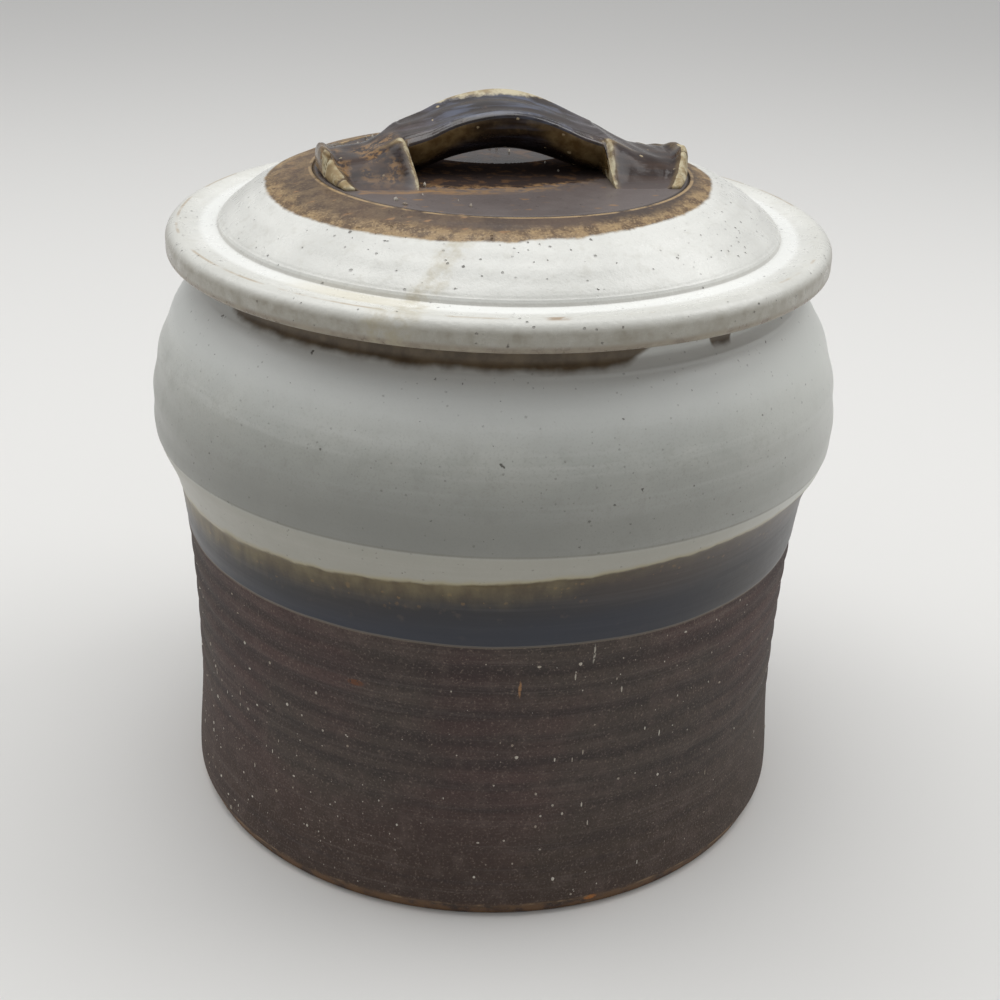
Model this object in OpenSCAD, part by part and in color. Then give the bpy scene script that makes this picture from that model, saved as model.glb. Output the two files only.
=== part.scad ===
// Stoneware canister: a thrown jar with a loose flanged lid and a pulled strap handle.
// Millimetres, +Z up, origin on the table under the middle of the foot, handle along X.

/* [Jar] */
// Height of the lid seat above the table
jar_height = 183.8; // [174:0.2:230]
// Diameter on which the foot stands
foot_d = 200; // [190:1:202]
// Height of the trimmed bevel round the foot
foot_bevel_h = 4.5; // [2:0.5:7]
// Diameter just above the foot bevel
heel_d = 203.2; // [202:0.2:208]
// Diameter at the narrowest place of the lower wall
waist_d = 199.4; // [190:0.2:204]
// Height of the narrowest place
waist_z = 38; // [25:1:60]
// Diameter where the lower wall turns out into the flare
belt_d = 206.4; // [200:0.2:212]
// Height of that turn
belt_z = 111; // [95:1:118]
// Diameter at the sharp crease under the bulge
crease_d = 219.2; // [212:0.2:220]
// Height of the crease
crease_z = 128.8; // [122:0.2:131]
// Outward lean of the wall at the turn into the flare, mm for each mm of height
belt_lean = 0.13; // [0.08:0.01:0.18]
// Outward lean of the flare where it meets the crease
flare_lean = 0.42; // [0.36:0.01:0.5]
// Outward lean of the bulge where it leaves the crease
bulge_lean = 0.14; // [0.06:0.01:0.2]
// Greatest diameter
bulge_d = 220; // [219:0.5:240]
// Height of the greatest diameter
bulge_z = 134; // [132:0.5:138]
// Outside diameter of the neck that carries the lid
neck_d = 184; // [180:1:190]
// Height of the upright neck
neck_h = 7.2; // [5:0.2:12]
// How far the shoulder would curve in if it ran on to level
shoulder_w = 28; // [22:1:34]
// Radius of the hollow between shoulder and neck
neck_fillet = 3; // [2:0.5:4]
// Thickness of the thrown wall
wall_t = 7; // [5:0.5:8]
// Chamfer on both edges of the neck's lip
lip_ease = 1; // [0.4:0.1:1.6]
// Thickness of the floor
floor_t = 10; // [7:0.5:14]
// Radius inside between floor and wall
floor_fillet = 9; // [4:1:14]
// Width of the ring that stands on the table
foot_ring_w = 16; // [8:1:30]
// Depth of the hollow inside the standing ring
foot_hollow = 1.6; // [0.5:0.1:4]

/* [Lid] */
// Outside diameter of the lid
lid_d = 206; // [198:0.2:216]
// Thickness of the lid rim
rim_t = 8.8; // [7:0.2:12]
// Radius of the upper edge of the rim
rim_round = 4; // [2:0.5:5]
// Radius of the lower edge of the rim
rim_ease = 1.5; // [0.5:0.5:2]
// Diameter of the trough in the top of the rim
trough_d = 183; // [179:1:188]
// Depth of the trough below the rim
trough_depth = 1; // [0.4:0.1:2]
// Width of the bank from the rim down into the trough
trough_bank = 4; // [2:0.5:6]
// Diameter at the foot of the cone
cone_d = 174.2; // [170:0.2:176]
// Height of the small step at the foot of the cone
step_h = 1.8; // [1:0.2:4]
// Rise of the cone above its step
cone_rise = 14.3; // [10:0.1:20]
// Swell of the cone beyond a straight slope
cone_swell = 2.8; // [0:0.1:3.2]
// Diameter of the flat top that carries the handle
top_d = 115.4; // [110:0.2:122]
// Depth of the scored line round the flat top
score_depth = 0.7; // [0.3:0.1:1.2]
// Width of the scored line
score_w = 1.2; // [0.6:0.1:1.6]
// Thickness of the lid under the flat top
lid_t = 8; // [6:0.5:9]
// Height of the upright wall of the hollow under the lid
hollow_h = 7; // [5:0.5:9]
// Width of the ledge between that hollow and the locating ring, and of the hollow's draft
hollow_ledge = 2; // [1:0.5:3]
// How far the hollow's ceiling stays inside the edge of the flat top
ceiling_in = 6; // [3:0.5:10]

/* [Locating ring] */
// Loose fit between the ring and the mouth, on the radius
ring_clearance = 1.5; // [0.6:0.1:3]
// Thickness of the ring
ring_t = 6; // [4:0.5:7]
// Depth of the ring below the lid seat
ring_depth = 12; // [6:0.5:16]
// Chamfer on the lower edges of the ring
ring_ease = 1.5; // [0.5:0.1:1.9]

/* [Handle] */
// Height of the strap edges above the lid at the middle
strap_rise = 21.7; // [20:0.1:28]
// Width of the strap between its edges
strap_w = 26; // [20:1:32]
// Thickness of the strap at its middle
strap_t = 12; // [9:0.2:13]
// Upright thickness of the two edges of the strap
strap_edge_t = 4; // [3:0.2:6]
// Depth of the groove along the top of the strap
strap_groove = 2.4; // [1:0.2:4]
// Clear span of the arch between its roots
arch_span = 59; // [52:1:62]
// Distance from the middle at which the strap edges are down to the ends
arch_reach = 51; // [44:1:52]
// Height of the pressed ends above the lid
pad_h = 5.4; // [4.6:0.2:7]
// Width of the pressed ends at their roots
pad_w = 56; // [46:1:60]
// Rise of the lip at the tip of each end
lip_rise = 2.2; // [0:0.1:3]
// Length over which that lip rises
lip_run = 8; // [5:0.5:12]
// Length over which the sides of each end rise to its tip
side_run = 14; // [9:0.5:18]
// Height of the thin sides of the pressed ends
side_h = 1; // [0.8:0.1:2]
// Distance kept between the ends and the scored line
pad_inset = 0.8; // [0.4:0.1:3]

/* [Hidden] */
$fn = 96;
seat_z = jar_height;
rim_z = seat_z + rim_t;
step_z = rim_z - trough_depth + step_h;
top_z = step_z + cone_rise;
neck_r = neck_d / 2;
mouth_r = neck_r - wall_t;
ring_r = mouth_r - ring_clearance;
shoulder_r = bulge_d / 2 - shoulder_w;
shoulder_h = (seat_z - neck_h - bulge_z) / sin(acos((neck_r - shoulder_r) / shoulder_w));
pad_r = top_d / 2 - pad_inset;

// A smooth stretch of wall between two heights, with its lean at each end
function wall_run(r0, z0, lean0, r1, z1, lean1, n) = [
    for (i = [0:n - 1])
        let (t = i / n, h = z1 - z0)
        [
            r0 * (2 * t * t * t - 3 * t * t + 1) + lean0 * h * (t * t * t - 2 * t * t + t)
            + r1 * (3 * t * t - 2 * t * t * t) + lean1 * h * (t * t * t - t * t),
            z0 + h * t
        ]
];

// Points on an arc about a centre
function arc(r, z, radius, a0, a1, n) = [
    for (i = [0:n])
        let (a = a0 + (a1 - a0) * i / n)
        [r + radius * cos(a), z + radius * sin(a)]
];

function smooth(a, b, x) =
    let (t = max(0, min(1, (x - a) / (b - a))))
    t * t * (3 - 2 * t);

// The lower wall and the flare above it, drawn in by the wall thickness for the inside
function lower_wall(inset) = concat(
    wall_run(heel_d / 2 - inset, foot_bevel_h, 0, waist_d / 2 - inset, waist_z, 0, 8),
    wall_run(waist_d / 2 - inset, waist_z, 0, belt_d / 2 - inset, belt_z, belt_lean, 12),
    wall_run(belt_d / 2 - inset, belt_z, belt_lean, crease_d / 2 - inset, crease_z, flare_lean, 6)
);

// Angle round the shoulder at which it has come in to a radius
function shoulder_angle(r) = acos((r - shoulder_r) / shoulder_w);

// The bulge and shoulder up to the neck
function upper_wall(inset) =
    let (a1 = shoulder_angle(neck_r + neck_fillet * 0.6))
    concat(
        wall_run(crease_d / 2 - inset, crease_z, bulge_lean, bulge_d / 2 - inset, bulge_z, 0, 4),
        [for (i = [0:16])
            let (a = a1 * i / 16)
            [shoulder_r + shoulder_w * cos(a) - inset, bulge_z + shoulder_h * sin(a)]]
    );

function jar_outline() =
    let (
        outer = concat(lower_wall(0), upper_wall(0)),
        inner = [for (p = concat(lower_wall(wall_t), upper_wall(wall_t)))
            if (p[1] > floor_t + floor_fillet) p],
        neck_z = outer[len(outer) - 1][1] + neck_fillet,
        foot_in = foot_d / 2 - foot_ring_w
    )
    concat(
        [[0, foot_hollow], [foot_in - foot_hollow, foot_hollow], [foot_in, 0], [foot_d / 2, 0]],
        outer,
        [[neck_r, neck_z], [neck_r, seat_z - lip_ease], [neck_r - lip_ease, seat_z]],
        [[mouth_r + lip_ease, seat_z], [mouth_r, seat_z - lip_ease], [mouth_r, neck_z]],
        [for (i = [len(inner) - 1:-1:0]) inner[i]],
        arc(inner[0][0] - floor_fillet, floor_t + floor_fillet, floor_fillet, 0, -90, 8),
        [[0, floor_t]]
    );

// The jar is thrown in one piece, with a trimmed foot and an upright neck
module jar_body() {
    color([0.45, 0.43, 0.41])
        rotate_extrude()
            polygon(jar_outline());
}

function lid_outline() =
    let (
        lid_r = lid_d / 2,
        top_r = top_d / 2,
        hollow_r = ring_r - ring_t - hollow_ledge,
        under_z = top_z - lid_t,
        score = score_w / 2
    )
    concat(
        [[0, under_z], [top_r - ceiling_in, under_z]],
        [[hollow_r - hollow_ledge, seat_z + hollow_h], [hollow_r, seat_z]],
        arc(lid_r - rim_ease, seat_z + rim_ease, rim_ease, -90, 0, 4),
        arc(lid_r - rim_round, rim_z - rim_round, rim_round, 0, 90, 8),
        [[trough_d / 2 + trough_bank, rim_z - trough_depth * 0.6]],
        [[trough_d / 2, rim_z - trough_depth], [cone_d / 2, rim_z - trough_depth]],
        [[cone_d / 2 - step_h * 0.4, step_z]],
        [for (i = [1:8])
            let (t = i / 9, r0 = cone_d / 2 - step_h * 0.4)
            [r0 + (top_r + score - r0) * t, step_z + cone_rise * t + 4 * cone_swell * t * (1 - t)]],
        [[top_r + score, top_z], [top_r, top_z - score_depth], [top_r - score, top_z], [0, top_z]]
    );

// The lid is thrown as a shallow cone with a thick flat rim that lies on the neck
module lid_plate() {
    color([0.86, 0.86, 0.83])
        rotate_extrude()
            polygon(lid_outline());
}

// A thrown ring luted under the lid hangs in the mouth and keeps the lid central
module locating_ring() {
    low = seat_z - ring_depth;
    color([0.40, 0.33, 0.27])
        rotate_extrude()
            polygon([
                [ring_r - ring_t, seat_z],
                [ring_r - ring_t, low + ring_ease],
                [ring_r - ring_t + ring_ease, low],
                [ring_r - ring_ease, low],
                [ring_r, low + ring_ease],
                [ring_r, seat_z]
            ]);
}

// How far a place along the handle belongs to the pressed ends and not to the arch
function end_share(x) = smooth(arch_span / 2 - 1.5, arch_span / 2 + 2, abs(x));

function strap_half(x) =
    let (pad = min(pad_w / 2, sqrt(max(9, pad_r * pad_r - x * x))))
    strap_w / 2 + (pad - strap_w / 2) * end_share(x);

// Height of the two edges of the strap along its length
function edge_height(x) =
    pad_h + (strap_rise - pad_h) * (1 + cos(180 * min(1, abs(x) / arch_reach))) / 2;

// Depth of the groove along the strap, which runs out at the roots
function groove_depth(x) = strap_groove * max(0, 1 - pow(abs(2 * x / arch_span), 3));

// Top of the handle above the lid, across the strap from -1 to 1
function handle_top(x, v) =
    let (
        arch = edge_height(x) - groove_depth(x) * (1 - v * v),
        crown = edge_height(x) + lip_rise * smooth(pad_r - lip_run, pad_r - 1, abs(x)),
        rim = side_h + (crown - side_h) * 0.6 * smooth(pad_r - side_run, pad_r - 1, abs(x)),
        pad = rim + (crown - rim) * (1 - smooth(0.42 * strap_w / strap_half(x), 1, abs(v)))
    )
    arch + (pad - arch) * end_share(x);

function handle_under(x, v) =
    let (deep = strap_t + (strap_edge_t - strap_t) * v * v)
    max(0, handle_top(x, v) - deep) * (1 - end_share(x));

// The strap is pulled, bent to an arch and pressed onto the flat top at both ends
module strap_handle() {
    nx = 76;
    nv = 12;
    reach = pad_r - 0.4;
    row = nv + 1;
    count = (nx + 1) * row;
    spots = [for (i = [0:nx], j = [0:nv]) [reach * (2 * i / nx - 1), 2 * j / nv - 1]];
    top = [for (s = spots) [s[0], strap_half(s[0]) * s[1], top_z + handle_top(s[0], s[1])]];
    under = [for (s = spots) [s[0], strap_half(s[0]) * s[1], top_z + handle_under(s[0], s[1])]];
    skin = [for (i = [0:nx - 1], j = [0:nv - 1])
        let (a = i * row + j, b = a + row)
        each [[a, a + 1, b + 1], [a, b + 1, b]]];
    sole = [for (f = skin) [f[0] + count, f[2] + count, f[1] + count]];
    sides = [for (i = [0:nx - 1])
        let (a = i * row, b = a + row, c = a + nv, d = c + row)
        each [[a, b, b + count], [a, b + count, a + count],
            [d, c, c + count], [d, c + count, d + count]]];
    ends = [for (j = [0:nv - 1])
        let (a = j, b = nx * row + j)
        each [[a + 1, a, a + count], [a + 1, a + count, a + 1 + count],
            [b, b + 1, b + 1 + count], [b, b + 1 + count, b + count]]];
    color([0.24, 0.20, 0.19])
        polyhedron(points = concat(top, under), faces = concat(skin, sole, sides, ends), convexity = 6);
}

jar_body();
lid_plate();
locating_ring();
strap_handle();
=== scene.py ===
import math

import bpy
import numpy as np
from mathutils import Matrix, Vector


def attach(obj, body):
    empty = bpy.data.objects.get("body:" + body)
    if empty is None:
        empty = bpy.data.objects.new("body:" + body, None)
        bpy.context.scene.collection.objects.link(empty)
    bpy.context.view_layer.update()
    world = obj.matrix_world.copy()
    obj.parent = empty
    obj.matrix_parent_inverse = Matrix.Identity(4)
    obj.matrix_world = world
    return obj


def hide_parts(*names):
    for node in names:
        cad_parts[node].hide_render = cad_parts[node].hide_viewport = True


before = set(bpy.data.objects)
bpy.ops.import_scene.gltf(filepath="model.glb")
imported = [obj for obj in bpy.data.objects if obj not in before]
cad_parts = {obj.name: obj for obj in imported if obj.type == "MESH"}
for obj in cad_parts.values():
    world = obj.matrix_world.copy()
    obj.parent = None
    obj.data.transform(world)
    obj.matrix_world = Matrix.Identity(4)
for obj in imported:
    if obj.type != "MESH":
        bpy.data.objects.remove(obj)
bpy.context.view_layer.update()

# The jar: one lump of gritty stoneware thrown on the wheel, with a trimmed foot, a sharp crease under the
# bulge and an upright neck. The lower wall is bare clay. A blue-black glaze band and a grey-white glaze are
# poured over the upper half. It stands on its foot ring and carries the loose lid on its neck.

seat_z, foot_d, foot_bevel_h, heel_d = 183.8, 200.0, 4.5, 203.2
waist_d, waist_z, belt_d, belt_z, belt_lean = 199.4, 38.0, 206.4, 111.0, 0.13
crease_d, crease_z, flare_lean, bulge_lean = 219.2, 128.8, 0.42, 0.14
bulge_d, bulge_z, neck_d, neck_h, shoulder_w = 220.0, 134.0, 184.0, 7.2, 28.0
wall_t, floor_t, floor_fillet, foot_ring_w, foot_hollow = 7.0, 10.0, 9.0, 16.0, 1.6
neck_fillet, shoulder_stop, lip_round, foot_round, jar_spots = 2.2, 1.8, 1.0, 0.8, 256
white_z, white_slant, white_turn, dark_z, mm = 118.0, 7.0, 1.78, 96.0, 0.001


def smooth(a, b, x):
    t = np.clip((np.asarray(x, float) - a) / (b - a), 0.0, 1.0)
    return t * t * (3.0 - 2.0 * t)


def wall_run(r0, z0, lean0, r1, z1, lean1, n):
    t, h = np.arange(n) / n, z1 - z0
    r = (r0 * (2 * t**3 - 3 * t**2 + 1) + lean0 * h * (t**3 - 2 * t**2 + t)
         + r1 * (3 * t**2 - 2 * t**3) + lean1 * h * (t**3 - t**2))
    return [(a, z0 + h * b) for a, b in zip(r, t)]


def arc(r, z, radius, a0, a1, n):
    return [(r + radius * math.cos(math.radians(a)), z + radius * math.sin(math.radians(a)))
            for a in np.linspace(a0, a1, n + 1)]


def line(p, q, n):
    """Points from p up to but not including q."""
    return [(p[0] + (q[0] - p[0]) * i / n, p[1] + (q[1] - p[1]) * i / n) for i in range(n)]


def jar_wall(inset, fine):
    """The thrown wall from the foot bevel to the neck, drawn in for the inside."""
    shoulder_r, neck_r = bulge_d / 2 - shoulder_w, neck_d / 2
    shoulder_h = (seat_z - neck_h - bulge_z) / math.sin(math.acos((neck_r - shoulder_r) / shoulder_w))
    last = math.acos((neck_r + shoulder_stop - shoulder_r) / shoulder_w)
    n = lambda k: max(3, int(k * fine))
    return (wall_run(heel_d / 2 - inset, foot_bevel_h, 0, waist_d / 2 - inset, waist_z, 0, n(50))
            + wall_run(waist_d / 2 - inset, waist_z, 0, belt_d / 2 - inset, belt_z, belt_lean, n(110))
            + wall_run(belt_d / 2 - inset, belt_z, belt_lean, crease_d / 2 - inset, crease_z, flare_lean, n(30))
            + wall_run(crease_d / 2 - inset, crease_z, bulge_lean, bulge_d / 2 - inset, bulge_z, 0, n(9))
            + [(shoulder_r + shoulder_w * math.cos(a) - inset, bulge_z + shoulder_h * math.sin(a))
               for a in np.linspace(0, last, n(62))])


def turned(name, outline, spots, wander=None, ring=False):
    """A mesh turned about Z from an outline in mm. Points on the axis close it, or the outline is a ring."""
    outline = np.asarray(outline, float)
    rows = outline if ring else outline[1:-1]
    turn = np.arange(spots) * 2 * math.pi / spots
    r, z = np.repeat(rows[:, :1], spots, 1), np.repeat(rows[:, 1:], spots, 1)
    a = np.repeat(turn[None], len(rows), 0)
    if wander:
        r, z = wander(r, z, a)
    points = np.stack([r * np.cos(a), r * np.sin(a), z], -1).reshape(-1, 3)
    j = np.arange(spots)
    k = (j + 1) % spots
    faces = []
    for i in range(len(rows) - (0 if ring else 1)):
        lo, up = i * spots, (i + 1) % len(rows) * spots
        faces += np.column_stack([lo + j, lo + k, up + k, up + j]).tolist()
    if not ring:
        n, top = len(points), (len(rows) - 1) * spots
        points = np.vstack([points, [0, 0, outline[0, 1]], [0, 0, outline[-1, 1]]])
        faces += [(n, int(b), int(c)) for b, c in zip(k, j)]
        faces += [(top + int(b), top + int(c), n + 1) for b, c in zip(j, k)]
    return finished(name, points, faces)


def finished(name, points, faces):
    """A smooth-shaded object from points in mm, placed in the shared frame."""
    mesh = bpy.data.meshes.new(name)
    mesh.from_pydata((np.asarray(points) * mm).tolist(), [], faces)
    mesh.polygons.foreach_set("use_smooth", np.ones(len(mesh.polygons), bool))
    mesh.update()
    piece = bpy.data.objects.new(name, mesh)
    bpy.context.scene.collection.objects.link(piece)
    return piece


def mark(piece, name, values):
    """Stores one number for each point of a piece, for its material to read."""
    layer = piece.data.attributes.new(name, "FLOAT", "POINT")
    layer.data.foreach_set("value", np.asarray(values, np.float32).ravel())


def glaze_edge(a):
    """Height in mm of the lower edge of the white glaze, which was poured a little slanting."""
    return white_z + white_slant * np.sin(a + white_turn)


def jar_wander(r, z, a):
    """The slight unevenness of a hand-thrown wall, and the thickness of the white glaze at its edge."""
    out = smooth(-4, -3, r - 98.5) * smooth(2, 20, z)
    lean = 0.12 * (1 + np.sin(2 * a + 0.6 + z / 60)) + 0.06 * (1 + np.sin(3 * a + 2.1 - z / 45))
    coat = 0.35 * smooth(-1.0, 0.6, z - glaze_edge(a) - 0.5 * np.sin(23 * a)) * smooth(crease_z, crease_z - 4, z)
    return r - out * lean + out * coat, z


neck_r, mouth_r = neck_d / 2, neck_d / 2 - wall_t
foot_in = foot_d / 2 - foot_ring_w
outer = jar_wall(0, 1)
neck_z = outer[-1][1] + 3
inner = [p for p in jar_wall(wall_t, 0.25) if p[1] > floor_t + floor_fillet]
floor_in = inner[0][0] - floor_fillet
jar_outside = (line((0, foot_hollow), (foot_in - foot_hollow, foot_hollow), 6)
               + line((foot_in - foot_hollow, foot_hollow), (foot_in, 0), 3)
               + line((foot_in, 0), (foot_d / 2 - foot_round, 0), 5)
               + arc(foot_d / 2 - foot_round, foot_round, foot_round, -90, -15, 4)
               + line((foot_d / 2 + 0.1, 1.2), outer[0], 6) + outer
               + arc(neck_r + neck_fillet, neck_z, neck_fillet, 215, 180, 4)
               + line((neck_r, neck_z + 0.8), (neck_r, seat_z - lip_round), 6)
               + arc(neck_r - lip_round, seat_z - lip_round, lip_round, 0, 90, 5)
               + line((neck_r - 2, seat_z), (mouth_r + 1.2, seat_z), 3))
jar_inside = (arc(mouth_r + lip_round, seat_z - lip_round, lip_round, 90, 180, 5)
              + line((mouth_r, seat_z - 2), (mouth_r, neck_z), 4) + inner[::-1]
              + arc(floor_in, floor_t + floor_fillet, floor_fillet, 0, -90, 8)
              + line((floor_in - 8, floor_t), (0, floor_t), 6) + [(0, floor_t)])
jar = turned("jar_stoneware", jar_outside + jar_inside, jar_spots, jar_wander)
rows = np.arange(1, len(jar_outside) + len(jar_inside) - 1)
lip_row = len(jar_outside) + 2
mark(jar, "inside", np.append(np.repeat((rows > lip_row) * 1.0, jar_spots), [0.0, 1.0]))


class Graph:
    """Short calls that add shader nodes to one tree and join them."""

    def __init__(self, tree):
        self.tree = tree

    def add(self, kind, feeds=None, **settings):
        node = self.tree.nodes.new(kind)
        for name, value in settings.items():
            setattr(node, name, value)
        for spot, value in (feeds or {}).items():
            if isinstance(value, bpy.types.NodeSocket):
                self.tree.links.new(value, node.inputs[spot])
            else:
                node.inputs[spot].default_value = value
        return node

    def math(self, op, a, b=0.0, clamp=False):
        return self.add("ShaderNodeMath", {0: a, 1: b}, operation=op, use_clamp=clamp).outputs[0]

    def plus(self, a, b):
        return self.math("ADD", a, b)

    def less(self, a, b):
        return self.math("SUBTRACT", a, b)

    def times(self, a, b):
        return self.math("MULTIPLY", a, b)

    def blend(self, share, a, b):
        return self.add("ShaderNodeMix", {0: share, 6: a, 7: b}, data_type="RGBA").outputs[2]

    def tint(self, base, share, mask, rgb):
        """Lays a written screen colour over a base, by a share of a mask."""
        return self.blend(self.times(mask, share), base, colour(*rgb))

    def rise(self, x, a, b):
        return self.add("ShaderNodeMapRange", {0: x, 1: a, 2: b}, interpolation_type="SMOOTHSTEP").outputs[0]

    def band(self, x, middle, half):
        """One at the middle, falling to nothing half a width away."""
        return self.rise(self.math("ABSOLUTE", self.less(x, middle)), half, half * 0.35)

    def noise(self, at, scale, detail=3.0, rough=0.55):
        return self.add("ShaderNodeTexNoise", {"Vector": at, "Scale": scale, "Detail": detail,
                                               "Roughness": rough}).outputs[0]

    def stretch(self, at, size):
        return self.add("ShaderNodeMapping", {"Vector": at, "Scale": size}).outputs[0]

    def group(self, name, feeds):
        return self.add("ShaderNodeGroup", feeds, node_tree=bpy.data.node_groups[name]).outputs[0]

    def place(self):
        """Object position, its three parts, the angle about Z and the distance from the axis."""
        at = self.add("ShaderNodeTexCoord").outputs["Object"]
        x, y, z = self.add("ShaderNodeSeparateXYZ", {0: at}).outputs
        angle = self.math("ARCTAN2", y, x)
        out = self.math("SQRT", self.plus(self.times(x, x), self.times(y, y)))
        return at, x, y, z, angle, out


def throwing_rings():
    """Geometry Nodes: presses shallow finger rings into a turned wall along one spiral, and stores their depth."""
    g, use, end = tree_of("Throwing rings", ("Pitch", "Depth", "From height", "To height", "Unevenness", "Seed"))
    at = g.add("GeometryNodeInputPosition").outputs[0]
    x, y, z = g.add("ShaderNodeSeparateXYZ", {0: at}).outputs
    sway = g.add("ShaderNodeTexNoise", {"Vector": at, "W": use["Seed"], "Scale": 22.0, "Detail": 1.0},
                 noise_dimensions="4D").outputs[0]
    turn = g.math("DIVIDE", g.math("ARCTAN2", y, x), 2 * math.pi)
    phase = g.plus(g.plus(g.math("DIVIDE", z, use["Pitch"]), turn), g.times(sway, use["Unevenness"]))
    ridge = g.times(g.less(g.math("SINE", g.times(phase, 2 * math.pi)), 1.0), 0.5)
    share = g.times(g.rise(z, use["From height"], g.plus(use["From height"], 0.012)),
                    g.rise(z, use["To height"], g.less(use["To height"], 0.008)))
    press = g.times(ridge, g.times(share, g.plus(0.4, sway)))
    depth = g.times(press, use["Depth"])
    flat = g.add("ShaderNodeCombineXYZ", {0: x, 1: y}).outputs[0]
    outward = g.add("ShaderNodeVectorMath", {0: flat}, operation="NORMALIZE").outputs[0]
    push = g.add("ShaderNodeVectorMath", {0: outward, "Scale": depth}, operation="SCALE").outputs[0]
    moved = g.add("GeometryNodeSetPosition", {"Geometry": use["Geometry"], "Offset": push}).outputs[0]
    before = g.add("GeometryNodeInputNamedAttribute", {"Name": "groove"}, data_type="FLOAT").outputs[0]
    end(g.add("GeometryNodeStoreNamedAttribute", {"Geometry": moved, "Name": "groove", "Value": g.less(before, press)},
              data_type="FLOAT", domain="POINT").outputs[0])
    return g.tree


def tree_of(name, sizes):
    """A new Geometry Nodes tree with named sizes, which ends in Realize Instances and Set Material."""
    tree = bpy.data.node_groups.new(name, "GeometryNodeTree")
    tree.interface.new_socket("Geometry", in_out="INPUT", socket_type="NodeSocketGeometry")
    for size in sizes:
        tree.interface.new_socket(size, in_out="INPUT", socket_type="NodeSocketFloat")
    tree.interface.new_socket("Material", in_out="INPUT", socket_type="NodeSocketMaterial")
    tree.interface.new_socket("Geometry", in_out="OUTPUT", socket_type="NodeSocketGeometry")
    g, use = Graph(tree), tree.nodes.new("NodeGroupInput").outputs

    def end(shape):
        real = g.add("GeometryNodeRealizeInstances", {0: shape}).outputs[0]
        paint = g.add("GeometryNodeSetMaterial", {"Geometry": real, "Material": use["Material"]}).outputs[0]
        g.add("NodeGroupOutput", {0: paint})

    return g, use, end


def settle(piece, tree, values):
    """Runs a Geometry Nodes tree on a piece and keeps the plain mesh that it makes."""
    step = piece.modifiers.new(tree.name, "NODES")
    step.node_group = tree
    for item in tree.interface.items_tree:
        if item.in_out == "INPUT" and item.name in values:
            step[item.identifier] = values[item.name]
    graph = bpy.context.evaluated_depsgraph_get()
    mesh = bpy.data.meshes.new_from_object(piece.evaluated_get(graph), preserve_all_data_layers=True, depsgraph=graph)
    piece.modifiers.remove(step)
    piece.data = mesh


def colour(r, g, b):
    """A written screen colour as the linear value that shaders take."""
    return tuple((c / 255 / 12.92 if c < 10.3 else ((c / 255 + 0.055) / 1.055) ** 2.4) for c in (r, g, b)) + (1.0,)


def effect(name, inputs, output):
    """A named shader group with number and vector inputs and one number output, as a Graph and its ends."""
    tree = bpy.data.node_groups.new(name, "ShaderNodeTree")
    for label, kind in inputs:
        tree.interface.new_socket(label, in_out="INPUT", socket_type=kind)
    tree.interface.new_socket(output, in_out="OUTPUT", socket_type="NodeSocketFloat")
    return Graph(tree), tree.nodes.new("NodeGroupInput").outputs, tree.nodes.new("NodeGroupOutput").inputs[0]


number, vector = "NodeSocketFloat", "NodeSocketVector"

# Specks: round grains, one in each cell that a random draw picks, as iron spots, pinholes and grog
g, use, out = effect("Specks", [("Position", vector), ("Scale", number), ("Share", number), ("Size", number),
                                ("Fray", number)], "Mask")
g.tree.interface.items_tree["Fray"].default_value = 0.45
fray = g.add("ShaderNodeTexNoise", {"Vector": use["Position"], "Scale": g.times(use["Scale"], 4.0),
                                    "Detail": 1.0}).outputs[1]
fray = g.add("ShaderNodeVectorMath", {0: fray, 1: (0.5, 0.5, 0.5)}, operation="SUBTRACT").outputs[0]
shift = g.math("DIVIDE", use["Fray"], use["Scale"])
fray = g.add("ShaderNodeVectorMath", {0: fray, "Scale": shift}, operation="SCALE").outputs[0]
fray = g.add("ShaderNodeVectorMath", {0: fray, 1: use["Position"]}, operation="ADD").outputs[0]
cells = g.add("ShaderNodeTexVoronoi", {"Vector": fray, "Scale": use["Scale"], "Randomness": 1.0})
draw = g.add("ShaderNodeSeparateColor", {0: cells.outputs["Color"]}).outputs
size = g.times(use["Size"], g.plus(0.35, draw[1]))
grain = g.add("ShaderNodeMapRange", {0: cells.outputs["Distance"], 1: size, 2: g.times(size, 0.45)},
              interpolation_type="SMOOTHSTEP").outputs[0]
g.tree.links.new(g.times(grain, g.math("LESS_THAN", draw[0], use["Share"])), out)

# Wheel lines: fine level lines that the fingers and the grog drag round a turned wall
g, use, out = effect("Wheel lines", [("Position", vector), ("Fineness", number), ("Waver", number)], "Height")
parts = g.add("ShaderNodeSeparateXYZ", {0: use["Position"]}).outputs
reach = g.math("SQRT", g.plus(g.times(parts[0], parts[0]), g.times(parts[1], parts[1])))
path = g.add("ShaderNodeCombineXYZ", {0: g.times(parts[0], use["Waver"]), 1: g.times(parts[1], use["Waver"]),
                                      2: g.times(g.plus(parts[2], g.times(reach, 0.6)), use["Fineness"])}).outputs[0]
g.tree.links.new(g.noise(path, 1.0, 3.0, 0.6), out)


def material(name, gloss=0.5):
    """An empty material with one Principled shader, as a Graph and that shader."""
    mat = bpy.data.materials.new(name)
    mat.use_nodes = True
    shader = mat.node_tree.nodes["Principled BSDF"]
    shader.inputs["Specular IOR Level"].default_value = gloss
    return mat, Graph(mat.node_tree), shader


def surface(g, shader, tint, rough, height, depth):
    """Joins a colour, a roughness and a bump height to a material's shader."""
    g.tree.links.new(tint, shader.inputs["Base Color"])
    g.tree.links.new(rough, shader.inputs["Roughness"])
    bump = g.add("ShaderNodeBump", {"Strength": 1.0, "Distance": depth, "Height": height})
    g.tree.links.new(bump.outputs[0], shader.inputs["Normal"])


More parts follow.
